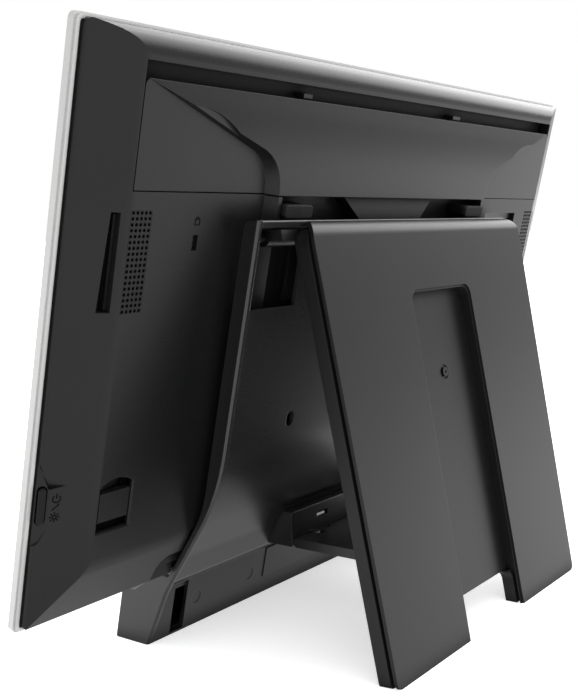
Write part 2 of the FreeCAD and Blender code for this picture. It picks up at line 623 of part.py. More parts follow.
def side_profile():
    """Side view of the plate's side walls, foot included."""
    bend = on_plane(KNEE_Y, KNEE_Z, LOWER_SLOPE, PLATE_REAR)
    inner = on_plane(KNEE_Y - RIM_LOW_DEPTH, KNEE_Z, LOWER_SLOPE, PLATE_REAR - RIM_DEPTH)
    over = on_plane(KNEE_Y - RIM_LOW_DEPTH, KNEE_Z, LOWER_SLOPE, 5.6)
    under = head_point(5.6, FRAME_LOW - 1.5)
    return [(FOOT_REAR_Y, 0, 0), (KNEE_Y, KNEE_Z, 30.0), (*bend, BEND_RADIUS),
            (rear_line(PLATE_REAR, PLATE_TOP), PLATE_TOP, 0),
            (rear_line(PLATE_REAR - RIM_DEPTH, PLATE_TOP), PLATE_TOP, 4.5),
            (*inner, 60.0), (*over, 1.0), (*under, 0),
            (head_point(-2.0, 0)[0], under[1], 0),
            (FOOT_REAR_Y - 8.0, FOOT_TOP, 2.0),
            (FOOT_FRONT_Y + FOOT_TOP * UPPER_SLOPE, FOOT_TOP, 1.5), (FOOT_FRONT_Y, 0, 1.0)]


def side_wall():
    """Side wall with a small bevel along its rear edge, inside and out."""
    inner, outer = PLATE_HALF - PLATE_WALL, PLATE_HALF
    wall = prism_x(side_profile(), inner, outer)
    middle = (inner + outer) / 2
    rear_edges = []
    for edge in wall.Edges:
        bounds = edge.BoundBox
        if bounds.XLength > 0.01 or bounds.ZLength < 1.0:
            continue
        point = edge.valueAt((edge.FirstParameter + edge.LastParameter) / 2)
        behind = Vector(middle, point.y + 0.3, point.z)
        before = Vector(middle, point.y - 0.3, point.z)
        if wall.isInside(before, 0.01, True) and not wall.isInside(behind, 0.01, True):
            rear_edges.append(edge)
    return wall.makeChamfer(1.0, rear_edges)


def web_sheet():
    """The web between the side walls, from the floor to the top."""
    slope = LOWER_SLOPE
    bend = on_plane(WEB_BEND_Y, WEB_BEND_Z, slope, WEB_REAR)
    turn = head_point(7.7, -1.4)
    band = FOOT_REAR_Y + BAND_TOP * UPPER_SLOPE
    shift = WEB / COS_T
    rear = [(FOOT_REAR_Y, 0, 0), (band, BAND_TOP, 1.0), (*turn, 6.0), (WEB_BEND_Y, WEB_BEND_Z, 30.0),
            (*bend, BEND_RADIUS), (rear_line(WEB_REAR, PLATE_TOP - 1), PLATE_TOP - 1, 0)]
    front = [(rear_line(WEB_REAR - WEB, PLATE_TOP - 1), PLATE_TOP - 1, 0),
             (bend[0] - shift, bend[1], BEND_RADIUS), (WEB_BEND_Y - shift, WEB_BEND_Z, 30.0),
             (turn[0] - 2.1, turn[1] + 0.6, 4.0), (band - 1.4, BAND_TOP + 2.4, 2.0),
             (band - WEB - 0.3, FOOT_TOP, 0), (FOOT_REAR_Y - WEB, 0, 0)]
    return prism_x(rear + front, -PLATE_HALF + 1, PLATE_HALF - 1)


def foot_block():
    """Hollow toe that reaches forward under the display."""
    lean = FOOT_TOP * UPPER_SLOPE
    wall = 2.5
    outer = [(FOOT_FRONT_Y, 0, 1.0), (FOOT_REAR_Y, 0, 0), (FOOT_REAR_Y + lean, FOOT_TOP, 0),
             (FOOT_FRONT_Y + lean, FOOT_TOP, 1.5)]
    inner = [(FOOT_FRONT_Y + wall, wall, 0), (FOOT_REAR_Y - wall, wall, 0),
             (FOOT_REAR_Y + lean - wall, FOOT_TOP - wall, 0),
             (FOOT_FRONT_Y + lean + wall, FOOT_TOP - wall, 0)]
    half = PLATE_HALF - 1.0
    return prism_x(outer, -half, half).cut(prism_x(inner, -half + wall, half - wall))


def top_bar():
    low = PLATE_TOP - BAR_THICK
    front = PLATE_REAR - 4.2
    bar = [(rear_line(front, low), low, 0), (rear_line(PLATE_REAR, low), low, 0),
           (rear_line(PLATE_REAR, PLATE_TOP), PLATE_TOP, 1.0), (rear_line(front, PLATE_TOP), PLATE_TOP, 0)]
    return prism_x(bar, -PLATE_HALF + 1, PLATE_HALF - 1)


def brace_boss():
    """Hollow block on the web that carries the brace."""
    front = WEB_BEND_Y - 4.0
    block = prism_x([(front - 6, BOSS_LOW, 0), (BOSS_REAR, BOSS_LOW, 0.6), (BOSS_REAR, BOSS_HIGH, 0.6),
                     (front + 8, BOSS_HIGH, 0)], -BRACE_HALF, BRACE_HALF)
    ears = []
    for side in (-1, 1):
        x0, x1 = sorted((side * EAR_X0, side * EAR_X1))
        low, high = BRACE_Z - BRACE_HALF_THICK, BRACE_Z + BRACE_HALF_THICK
        ears.append(box(x0, x1, BOSS_REAR - 1, BRACE_Y, low, high))
        ears.append(rod(BRACE_HALF_THICK, (x0, BRACE_Y, BRACE_Z), (x1, BRACE_Y, BRACE_Z)))
    return union([block] + ears)


def band_block(x0, x1, y0, y1, low, high):
    """Slab that leans with the foot's rear band; y is measured from the band."""
    outline = ((y0, low), (y1, low), (y1, high), (y0, high))
    corners = [(FOOT_REAR_Y + z * UPPER_SLOPE + y, z, 0) for y, z in outline]
    return prism_x(corners, x0, x1)


def foot_slot(depth, high):
    """Upright slot near the end of the band."""
    return band_block(104.5, 115.0, -depth, 2.0, 1.4, high)


def band_panel():
    """Low raised panel on the band, under the brace."""
    return band_block(-36.0, 36.0, -1.0, 0.6, 11.0, 29.0)


def ejector_marks():
    """Shallow round marks on the band, square to it."""
    marks = []
    for x in (96.2, 49.9):
        rear = (x, FOOT_REAR_Y + 16.7 * UPPER_SLOPE, 16.7)
        outside = (x, rear[1] + 2 * COS_T, rear[2] - 2 * SIN_T)
        inside = (x, rear[1] - MARK_DEPTH * COS_T, rear[2] + MARK_DEPTH * SIN_T)
        marks.append(rod(MARK_RADIUS, inside, outside))
    return marks


def stand_plate():
    post = [rod(5.0, (x, HUMP, z), (x, WEB_REAR - 1, z)) for x, z in STAND_SCREWS]
    posts = [head(solid) for solid in post]
    web = web_sheet()
    blocks = [foot_block(), top_bar(), brace_boss(), band_panel()]
    body = union([web] + both_sides(side_wall()) + blocks + posts)
    opening = box(OPENING_X0, OPENING_X1, -20, 40, OPENING_Z0, OPENING_Z1)
    slot = foot_slot(1.6, BAND_TOP - 0.6).fuse(foot_slot(4.0, FOOT_TOP - 2.5))
    oval = plate(77.0, 83.0, -30, 30, 114.6, 122.8, 2.9)
    pocket = box(14.5, 25.5, BOSS_REAR - 4, BOSS_REAR + 1, 49.3, 52.8)
    pin_hole = rod(PIN_RADIUS + 0.02, (OPENING_X1 - 1, HINGE_Y, HINGE_Z),
                   (PLATE_HALF - 1.5, HINGE_Y, HINGE_Z))
    hollow = prism_x([(WEB_BEND_Y - 14, BOSS_LOW + 2.4, 0), (BOSS_REAR - 2.4, BOSS_LOW + 2.4, 0),
                      (BOSS_REAR - 2.4, BOSS_HIGH - 2.4, 0), (WEB_BEND_Y + 4.5, BOSS_HIGH - 2.4, 0),
                      (WEB_BEND_Y - 8, BOSS_LOW + 6, 0)], -BRACE_HALF + 2.4, BRACE_HALF - 2.4)
    cuts = [hollow]
    for solid in (opening, slot, oval, pocket, pin_hole, *ejector_marks()):
        cuts += both_sides(solid)
    cuts += [box(-200, 200, -200, 200, -10, 0)]
    for x, z in STAND_SCREWS:
        cuts.append(head(rod(SCREW_HOLE, (x, HUMP - 1, z), (x, PLATE_REAR + 2, z))))
    cuts.append(rod(BRACE_PIN, (-EAR_X1 - 1, BRACE_Y, BRACE_Z), (EAR_X1 + 1, BRACE_Y, BRACE_Z)))
    cuts += both_sides(foot_pad())
    for cut in cuts:
        body = body.cut(cut)
    return body.removeSplitter()


def foot_pad():
    return plate(96.0, 122.0, -78.0, -63.0, 0, PAD_THICK, 0.4)


def foot_pads():
    return Part.makeCompound(both_sides(foot_pad()))


def stand_screws():
    screws = []
    for x, z in STAND_SCREWS:
        screws.append(union([rod(SCREW_SHANK, (x, PLATEAU + 1.4, z), (x, WEB_REAR, z)),
                             rod(3.0, (x, WEB_REAR, z), (x, WEB_REAR + 1.3, z))]))
    return head(Part.makeCompound(screws))


def hinge_bracket():
    """Steel strap behind the web that ends in a ring around the hinge pin."""
    depth = WEB_REAR - WEB
    sheet = head(box(82.0, RING_X1, depth - 1.6, depth, 152.0, 184.0))
    ring = rod(BARREL, (RING_X0, HINGE_Y, HINGE_Z), (RING_X1, HINGE_Y, HINGE_Z))
    bore = rod(PIN_RADIUS + 0.02, (80.0, HINGE_Y, HINGE_Z), (110.0, HINGE_Y, HINGE_Z))
    return union([sheet, ring]).cut(bore)


def hinge_brackets():
    return Part.makeCompound(both_sides(hinge_bracket()))


def hinge_pins():
    pin = rod(PIN_RADIUS, (RING_X0, HINGE_Y, HINGE_Z), (PLATE_HALF - 1.5, HINGE_Y, HINGE_Z))
    return Part.makeCompound(both_sides(pin))


def brace_pin():
    return rod(BRACE_PIN, (-46.0, BRACE_Y, BRACE_Z), (46.0, BRACE_Y, BRACE_Z))


# ---- brace -------------------------------------------------------------------------------
BRACE_END_Y = 43.3
END_PIN_Y = 39.8
END_PIN = 1.7


def brace():
    """Flat shelf, hollowed from below, with a knuckle at each end."""
    low, high = BRACE_Z - BRACE_HALF_THICK, BRACE_Z + BRACE_HALF_THICK
    wall = 2.4
    slab = box(-BRACE_HALF, BRACE_HALF, BRACE_Y, BRACE_END_Y, low, high)
    knuckle = rod(BRACE_HALF_THICK, (-BRACE_HALF, BRACE_Y, BRACE_Z), (BRACE_HALF, BRACE_Y, BRACE_Z))
    body = union([slab, knuckle])
    half = BRACE_HALF - wall
    body = body.cut(box(-half, half, BRACE_Y + 9, END_PIN_Y - 5, low - 1, high - wall))
    body = body.cut(rod(END_PIN, (-60, END_PIN_Y, BRACE_Z), (60, END_PIN_Y, BRACE_Z)))
    body = body.cut(rod(BRACE_PIN + PIN_FIT, (-46.5, BRACE_Y, BRACE_Z), (46.5, BRACE_Y, BRACE_Z)))
    ear_gap = box(EAR_X0 - MOVING, EAR_X1 + MOVING, BRACE_Y - 5, BRACE_Y + 5.2, low - 1, high + 1)
    pin_slot = box(17.0, 27.0, BRACE_Y - 1.2, BRACE_Y + 1.2, BRACE_Z, high + 1)
    for cut in both_sides(ear_gap) + both_sides(pin_slot):
        body = body.cut(cut)
    return body


def brace_end_pin():
    return rod(END_PIN, (-56.5, END_PIN_Y, BRACE_Z), (56.5, END_PIN_Y, BRACE_Z))


# ---- folding leg -------------------------------------------------------------------------
LEG_SHELL_DEPTH = 6.8
COVER_FACE = LEG_THICK - 1.8
TOP_DROP = 2.6            # the rear moulding and a dark groove cap the front one
LEG_WALL = 2.2
NOTCH_LENGTH = 20.4
CHANNEL_TOP = 185.5
CHANNEL_FLOOR = 3.6
TRAY_FLOOR = CHANNEL_FLOOR - 1.2
DISH = 0.5                # the screw sits this far below the channel's floor
LEG_SCREW_Z = 140.0


def leg_outline(inset, drop, y0, y1):
    """The leg's outline with the gap between its feet, brought in by inset and lowered by drop."""
    low, high, gap = LEG_HALF_LOW - inset, LEG_HALF_TOP - inset, CHANNEL_HALF + inset
    top, notch = LEG_LENGTH - inset - drop, NOTCH_LENGTH + inset
    half = [(gap, notch, 6.0 + inset), (gap, inset, 0), (low, inset, 4.0), (high, top, 10.0 - inset)]
    return prism_y(half + [(-x, z, radius) for x, z, radius in reversed(half)], y0, y1)


def leg_side(inset, front):
    """The leg's side profile with its rounded top, brought in from the rear and the top."""
    rear, top = LEG_THICK - inset, LEG_LENGTH - inset
    return prism_x([(-1, -4, 0), (rear, -4, 0), (rear, top, 8.5 - inset), (-1, top, front)],
                   -LEG_HALF_TOP, LEG_HALF_TOP)


def channel_block(grow, y0, y1, low):
    """The channel down the leg's rear, grown sideways and upwards."""
    half = CHANNEL_HALF + grow
    return plate(-half, half, y0, y1, -40, CHANNEL_TOP + grow, 6.0).common(
        box(-half, half, y0, y1, low, LEG_LENGTH))


def on_floor(shape):
    return shape.cut(box(-200, 200, -200, 200, -20, 0))


def leg_pad_blocks():
    pad = box(52.0, 84.0, LEG_REAR_Y - 9.2, LEG_REAR_Y - 5.4, 0, PAD_THICK)
    return both_sides(pad)


def leg_front_shell():
    """Front moulding: a shallow tub whose side band stops short of the rear one."""
    solid = leg_outline(0, TOP_DROP, 0, LEG_SHELL_DEPTH).common(leg_side(TOP_DROP, 0))
    hollow = leg_outline(LEG_WALL, TOP_DROP, LEG_WALL, LEG_THICK)
    hollow = hollow.cut(box(-200, 200, -5, 20, -10, 3.5))
    boss = rod(3.4, (0, LEG_WALL - 1, LEG_SCREW_Z), (0, TRAY_FLOOR, LEG_SCREW_Z))
    body = solid.cut(hollow).fuse(boss).cut(rod(1.1, (0, 0.5, LEG_SCREW_Z), (0, 5, LEG_SCREW_Z)))
    body = body.cut(channel_block(2.0 + CLEAR, TRAY_FLOOR - CLEAR, LEG_THICK, NOTCH_LENGTH - 0.1))
    body = body.fuse(boss.common(box(-5, 5, 0, TRAY_FLOOR, 0, LEG_LENGTH)))
    body = body.cut(rod(1.1, (0, 0.5, LEG_SCREW_Z), (0, 5, LEG_SCREW_Z)))
    body = on_floor(leg(body.removeSplitter()))
    for pad in leg_pad_blocks():
        body = body.cut(pad)
    return body


def leg_rear_cover():
    """Rear moulding: a sheet that wraps the back and the top, a rim inside, and the channel's tray."""
    solid = leg_outline(0, 0, 0, LEG_THICK).common(leg_side(0, 1.0))
    face = solid.cut(leg_side(LEG_THICK - COVER_FACE, 0))
    low_rim = LEG_SHELL_DEPTH - 1.4
    inset = LEG_WALL + CLEAR
    rim = leg_outline(inset, TOP_DROP, low_rim, COVER_FACE).cut(
        leg_outline(inset + 2.0, TOP_DROP, low_rim - 1, COVER_FACE + 1))
    rim = rim.cut(box(-200, 200, -5, 20, -10, 3.8))
    foot = leg_outline(inset, 0, LEG_SHELL_DEPTH + CLEAR, COVER_FACE).common(box(-200, 200, -5, 20, -10, 6))
    tray = channel_block(2.0, TRAY_FLOOR, COVER_FACE + 0.5, NOTCH_LENGTH + CLEAR)
    body = union([face, rim, foot, tray])
    dish = rod(4.2, (0, CHANNEL_FLOOR - DISH, LEG_SCREW_Z), (0, 9, LEG_SCREW_Z))
    cuts = [channel_block(0, CHANNEL_FLOOR, 20, -40), channel_block(1.2, LEG_THICK - 1.2, 20, -40), dish,
            rod(1.3, (0, 0, LEG_SCREW_Z), (0, 9, LEG_SCREW_Z))]
    for cut in cuts:
        body = body.cut(cut)
    return on_floor(leg(body.removeSplitter()))


def leg_screw():
    seat = CHANNEL_FLOOR - DISH
    shank = rod(1.1, (0, 0.6, LEG_SCREW_Z), (0, seat, LEG_SCREW_Z))
    cap = rod(2.6, (0, seat, LEG_SCREW_Z), (0, seat + 1.3, LEG_SCREW_Z))
    cross = [box(-1.5, 1.5, seat + 0.6, 9, LEG_SCREW_Z - 0.3, LEG_SCREW_Z + 0.3),
             box(-0.3, 0.3, seat + 0.6, 9, LEG_SCREW_Z - 1.5, LEG_SCREW_Z + 1.5)]
    return leg(union([shank, cap]).cut(union(cross)))


def leg_foot_pads():
    return Part.makeCompound(leg_pad_blocks())


def leg_hinge_leaf():
    """Leaf on the leg's front face with the barrel that turns on the hinge pin."""
    sheet = leg(box(BARREL_X0, 111.0, -1.6, 0, 196.0, 221.0))
    low, high = HINGE_Z - 1.1, HINGE_Z + BARREL
    neck = prism_x([(HINGE_Y, low, 0), (leg_front_y(low), low, 0), (leg_front_y(high), high, 0),
                    (HINGE_Y, high, 0)], BARREL_X0, BARREL_X1)
    barrel = rod(BARREL, (BARREL_X0, HINGE_Y, HINGE_Z), (BARREL_X1, HINGE_Y, HINGE_Z))
    bore = rod(PIN_RADIUS + PIN_FIT, (BARREL_X0 - 1, HINGE_Y, HINGE_Z), (BARREL_X1 + 1, HINGE_Y, HINGE_Z))
    return union([sheet, neck, barrel]).cut(bore)


def leg_hinge_leaves():
    return Part.makeCompound(both_sides(leg_hinge_leaf()))


def leg_front_y(z):
    """World y of the leg's front face at height z."""
    return LEG_REAR_Y - LEG_THICK / COS_L - z * SIN_L / COS_L


def leg_catches():
    """Two arms on the leg with a flat seat and a low nose for the brace's end pin."""
    seat = BRACE_Z - END_PIN - MOVING
    nose = END_PIN_Y - END_PIN - 0.5
    arm = [(nose - 1.6, seat - 5.0, 0), (leg_front_y(seat - 14), seat - 14, 0),
           (leg_front_y(seat), seat, 0), (nose, seat, 0), (nose, seat + 1.6, 0), (nose - 1.6, seat + 1.6, 0)]
    return Part.makeCompound(both_sides(prism_x(arm, 52.0, 56.0)))


# ---- export ------------------------------------------------------------------------------
PARTS = {
    "front_bezel": front_bezel, "mid_frame": mid_frame, "front_glass": front_glass,
    "lcd_panel": lcd_panel, "light_guide": light_guide, "inner_chassis": inner_chassis,
    "main_board": main_board, "led_driver_board": led_driver_board, "wifi_module": wifi_module,
    "ribbon_cable": ribbon_cable, "board_screws": board_screws, "rear_cover": rear_cover,
    "cover_screws": cover_screws, "back_door": back_door, "slide_latch": slide_latch,
    "power_button": power_button, "button_switch": button_switch,
    "rubber_bumpers": rubber_bumpers, "lock_plate": lock_plate,
    "connector_block": connector_block, "stand_plate": stand_plate, "foot_pads": foot_pads,
    "stand_screws": stand_screws, "hinge_brackets": hinge_brackets, "hinge_pins": hinge_pins,
    "brace_pin": brace_pin, "brace": brace, "brace_end_pin": brace_end_pin,
    "leg_front_shell": leg_front_shell, "leg_rear_cover": leg_rear_cover,
    "leg_screw": leg_screw, "leg_foot_pads": leg_foot_pads,
    "leg_hinge_leaves": leg_hinge_leaves, "leg_catches": leg_catches,
}
SIDES = {"left": 1, "right": -1}


def build():
    """Every piece of the object by its node name."""
    shapes = {name: make() for name, make in PARTS.items()}
    for name, side in SIDES.items():
        shapes["grille_" + name] = grille(side)
        shapes["speaker_" + name] = speaker(side)
    shapes["card_reader"] = port_block(1, [(155.0, 25.0, 1.8), (184.0, 7.0, 1.8)])
    shapes["usb_block"] = port_block(-1, [(155.0, 13.0, 2.0), (174.0, 13.0, 2.0)])
    return shapes


os.makedirs("parts", exist_ok=True)
for node, shape in build().items():
    shape.exportStep("parts/" + node + ".step")
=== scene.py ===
import math

import bpy
from mathutils import Matrix, Vector


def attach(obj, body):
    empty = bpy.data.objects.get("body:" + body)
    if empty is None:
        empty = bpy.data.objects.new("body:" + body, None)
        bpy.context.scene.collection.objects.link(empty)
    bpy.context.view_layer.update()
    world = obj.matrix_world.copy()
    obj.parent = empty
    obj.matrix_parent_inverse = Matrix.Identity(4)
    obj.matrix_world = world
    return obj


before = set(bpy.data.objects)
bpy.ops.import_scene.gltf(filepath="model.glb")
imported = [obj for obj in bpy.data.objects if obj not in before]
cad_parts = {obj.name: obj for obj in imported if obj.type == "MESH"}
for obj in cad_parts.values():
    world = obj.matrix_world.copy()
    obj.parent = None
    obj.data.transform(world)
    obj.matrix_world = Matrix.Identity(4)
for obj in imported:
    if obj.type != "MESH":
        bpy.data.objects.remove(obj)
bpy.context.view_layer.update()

# The screen stands on a plate that leans back by TILT; HEAD is its lower front edge.
TILT = math.radians(12.66)
HEAD = Vector((0.0, -0.0467, 0.0398))
UP = Vector((0.0, math.sin(TILT), math.cos(TILT)))        # up the display's face
BACK = Vector((0.0, math.cos(TILT), -math.sin(TILT)))     # square to it, rearwards


def head_point(x, back, up):
    """World point from millimetres across, behind and up the display's face."""
    return HEAD + Vector((x, 0.0, 0.0)) / 1000 + BACK * (back / 1000) + UP * (up / 1000)


# ---- node helpers ------------------------------------------------------------------------
class Nodes:
    """Thin wrapper that builds one material's node tree."""

    def __init__(self, name):
        self.material = bpy.data.materials.new(name)
        self.material.use_nodes = True
        self.tree = self.material.node_tree
        self.shader = self.tree.nodes["Principled BSDF"]
        self.place = self.add("ShaderNodeTexCoord").outputs["Object"]

    def add(self, kind, **values):
        """New node of this kind, with its properties set."""
        node = self.tree.nodes.new(kind)
        for key, value in values.items():
            setattr(node, key, value)
        return node

    def link(self, source, target):
        self.tree.links.new(source, target)

    def noise(self, scale, detail=3.0, roughness=0.55):
        """Cloudy noise fixed to the piece, around 0.5."""
        node = self.add("ShaderNodeTexNoise")
        self.link(self.place, node.inputs["Vector"])
        node.inputs["Scale"].default_value = scale
        node.inputs["Detail"].default_value = detail
        node.inputs["Roughness"].default_value = roughness
        return node.outputs["Fac"]

    def cells(self, scale):
        """Distance to the nearest of many scattered points: flakes, tracks."""
        node = self.add("ShaderNodeTexVoronoi")
        self.link(self.place, node.inputs["Vector"])
        node.inputs["Scale"].default_value = scale
        return node.outputs["Distance"]

    def spread(self, source, low, high, to_low, to_high):
        """Maps low..high to to_low..to_high, held at the ends."""
        node = self.add("ShaderNodeMapRange")
        self.link(source, node.inputs["Value"])
        for name, value in (("From Min", low), ("From Max", high), ("To Min", to_low), ("To Max", to_high)):
            node.inputs[name].default_value = value
        return node.outputs["Result"]

    def mix(self, factor, first, second):
        """Blend of two colours; factor is a socket."""
        node = self.add("ShaderNodeMix", data_type="RGBA")
        self.link(factor, node.inputs["Factor"])
        for socket, value in ((node.inputs[6], first), (node.inputs[7], second)):
            if isinstance(value, tuple):
                socket.default_value = (*value, 1.0)
            else:
                self.link(value, socket)
        return node.outputs[2]

    def bump(self, source, strength, distance, base=None):
        """Normal with fine relief; distance is its height in metres."""
        node = self.add("ShaderNodeBump")
        node.inputs["Strength"].default_value = strength
        node.inputs["Distance"].default_value = distance
        self.link(source, node.inputs["Height"])
        if base is not None:
            self.link(base, node.inputs["Normal"])
        return node.outputs["Normal"]

    def rounded(self, radius):
        """Normal that runs smoothly round sharp edges, as a moulded or painted edge does."""
        bevel = self.add("ShaderNodeBevel", samples=6)
        bevel.inputs["Radius"].default_value = radius
        return bevel.outputs["Normal"]

    def edges(self, rounded):
        """1 along sharp edges, 0 on flat faces."""
        geometry = self.add("ShaderNodeNewGeometry")
        dot = self.add("ShaderNodeVectorMath", operation="DOT_PRODUCT")
        self.link(rounded, dot.inputs[0])
        self.link(geometry.outputs["Normal"], dot.inputs[1])
        return self.spread(dot.outputs["Value"], 0.995, 0.9, 0.0, 1.0)

    def open_air(self, reach):
        """1 on open faces, towards 0 down in gaps and pockets narrower than reach."""
        node = self.add("ShaderNodeAmbientOcclusion", samples=6)
        node.inputs["Distance"].default_value = reach
        return self.spread(node.outputs["AO"], 0.3, 0.8, 0.0, 1.0)

    def set(self, name, value):
        """Sets one of the shader's inputs from a number, a colour or a socket."""
        if isinstance(value, (int, float)):
            self.shader.inputs[name].default_value = value
        elif isinstance(value, tuple):
            self.shader.inputs[name].default_value = (*value, 1.0)
        else:
            self.link(value, self.shader.inputs[name])


DARKER, PALER = 0.85, 1.15  # how far a finish strays from its own colour
EDGE_RADIUS = 0.0004        # a moulded edge's rounding, in metres
GAP_REACH = 0.016           # gaps and pockets narrower than this get painted shade, in metres
# painted shade: the near-black colour given to narrow gaps and pockets
PAINTED_GAP_SHADE = (0.0008, 0.0008, 0.0008)
UNPOLISHED = (1.0, 1.0, 1.0)


def tinted(colour, factor):
    """The colour, darker or paler by a factor."""
    return tuple(channel * factor for channel in colour)


def textured_plastic(name, colour, light, rough, grain, bump, specular):
    """Spark-eroded moulded plastic: fine grain, faint cloudiness, a painted highlight along sharp edges,
    painted shade in gaps and pockets.
    """
    n = Nodes(name)
    cloud = n.spread(n.noise(9.0, 4.0), 0.35, 0.65, 0.0, 1.0)
    fine = n.noise(grain, 2.0, 0.6)
    rounded = n.rounded(EDGE_RADIUS)
    base = n.mix(cloud, tinted(colour, DARKER), tinted(colour, PALER))
    base = n.mix(n.spread(fine, 0.35, 0.8, 0.0, 0.3), base, light)
    # painted highlight: the base colour turns paler along sharp edges, as if they caught the light
    base = n.mix(n.spread(n.edges(rounded), 0.0, 1.0, 0.0, 0.25), base, light)
    n.set("Specular IOR Level", specular)
    # painted shade: the base colour goes to near black in gaps and pockets narrower than GAP_REACH
    clear = n.open_air(GAP_REACH)
    n.set("Base Color", n.mix(clear, PAINTED_GAP_SHADE, base))
    polish = n.mix(clear, UNPOLISHED, n.spread(fine, 0.3, 0.7, rough - 0.04, rough + 0.05))
    n.set("Roughness", polish)
    n.set("Normal", n.bump(fine, bump, 0.0002, rounded))
    return n.material


def shell_plastic():
    """The display's rear cover and its latch."""
    return textured_plastic("shell_plastic", (0.0034, 0.0035, 0.0038), (0.009, 0.0093, 0.010),
                            0.30, 2600.0, 0.12, 0.17)


def door_plastic():
    """The lift-off door, a shade glossier than the cover round it."""
    return textured_plastic("door_plastic", (0.0038, 0.0039, 0.0042), (0.009, 0.0093, 0.010),
                            0.31, 2600.0, 0.12, 0.19)


def stand_plastic():
    """The stand's front plate and brace, the glossiest of the mouldings."""
    return textured_plastic("stand_plastic", (0.0040, 0.0041, 0.0044), (0.010, 0.0103, 0.011),
                            0.30, 2300.0, 0.12, 0.42)


def leg_plastic():
    """The folding leg, a slightly rougher grain."""
    return textured_plastic("leg_plastic", (0.0045, 0.0045, 0.0047), (0.011, 0.011, 0.0115),
                            0.33, 2300.0, 0.14, 0.20)


def grille_plastic():
    """The perforated loudspeaker grilles, the dullest of the mouldings."""
    return textured_plastic("grille_plastic", (0.0030, 0.0030, 0.0032), (0.008, 0.008, 0.0085),
                            0.36, 2600.0, 0.1, 0.15)


def gloss_plastic(name, colour, rough, specular=0.5):
    """Smooth plastic or film with a faint haze."""
    n = Nodes(name)
    n.set("Specular IOR Level", specular)
    haze = n.noise(60.0, 3.0)
    n.set("Base Color", n.mix(haze, tinted(colour, DARKER), tinted(colour, PALER)))
    n.set("Roughness", n.spread(haze, 0.3, 0.7, rough * 0.8, rough * 1.3))
    n.set("Normal", n.bump(n.noise(900.0, 2.0), 0.05, 0.0001))
    return n.material


def silver_paint():
    """Metallic lacquer: tiny flakes in a satin coat."""
    n = Nodes("silver_paint")
    flakes = n.cells(5200.0)
    cloud = n.noise(14.0, 3.0)
    base = n.mix(n.spread(flakes, 0.1, 0.7, 0.0, 1.0), (0.35, 0.35, 0.35), (0.42, 0.42, 0.415))
    n.set("Base Color", n.mix(n.spread(cloud, 0.3, 0.7, 0.0, 0.2), base, (0.37, 0.37, 0.37)))
    n.set("Metallic", 0.35)
    n.set("Roughness", n.spread(flakes, 0.1, 0.7, 0.34, 0.46))
    n.set("Coat Weight", 0.25)
    n.set("Coat Roughness", 0.2)
    n.set("Normal", n.bump(flakes, 0.05, 0.0001))
    return n.material


def dark_frame():
    """Dull black paint on the middle frame."""
    n = Nodes("dark_frame")
    fine = n.noise(2400.0, 2.0)
    n.set("Base Color", n.mix(fine, (0.0025, 0.0025, 0.0025), (0.006, 0.006, 0.006)))
    n.set("Roughness", n.spread(fine, 0.3, 0.7, 0.5, 0.62))
    n.set("Normal", n.bump(fine, 0.15, 0.0001))
    return n.material


def screen_glass():
    """Dark, switched-off front: near-black behind a clear polished surface."""
    n = Nodes("screen_glass")
    smear = n.noise(7.0, 5.0, 0.65)
    n.set("Base Color", n.mix(smear, (0.004, 0.004, 0.005), (0.008, 0.008, 0.010)))
    n.set("Roughness", n.spread(smear, 0.35, 0.7, 0.03, 0.10))
    n.set("Coat Weight", 0.6)
    n.set("Coat Roughness", 0.03)
    n.set("IOR", 1.52)
    return n.material


def rubber():
    """Soft black rubber with a little dust."""
    n = Nodes("rubber")
    fine = n.noise(1500.0, 3.0)
    dust = n.spread(n.noise(120.0, 4.0), 0.45, 0.7, 0.0, 0.5)
    n.set("Base Color", n.mix(dust, (0.008, 0.008, 0.0085), (0.016, 0.016, 0.0165)))
    n.set("Roughness", n.spread(fine, 0.3, 0.7, 0.6, 0.75))
    n.set("Specular IOR Level", 0.15)
    n.set("Normal", n.bump(fine, 0.2, 0.0002))
    return n.material


def metal(name, colour, rough, brushed):
    """Sheet or turned steel; brushed stretches the grain along X."""
    n = Nodes(name)
    stretch = n.add("ShaderNodeMapping")
    n.link(n.place, stretch.inputs["Vector"])
    stretch.inputs["Scale"].default_value = (0.04, 1.0, 1.0) if brushed else (1.0, 1.0, 1.0)
    n.place = stretch.outputs["Vector"]
    grain = n.noise(1800.0, 3.0)
    n.set("Base Color", n.mix(grain, tinted(colour, DARKER), colour))
    n.set("Metallic", 1.0)
    n.set("Roughness", n.spread(grain, 0.3, 0.7, rough * 0.8, rough * 1.3))
    n.set("Normal", n.bump(grain, 0.1, 0.0001))
    return n.material


def circuit_green():
    """Solder mask over a web of tracks."""
    n = Nodes("circuit_green")
    tracks = n.cells(420.0)
    copper = n.spread(tracks, 0.2, 0.3, 0.0, 1.0)
    n.set("Base Color", n.mix(copper, (0.03, 0.16, 0.07), (0.012, 0.075, 0.035)))
    n.set("Roughness", n.spread(tracks, 0.1, 0.6, 0.25, 0.4))
    return n.material


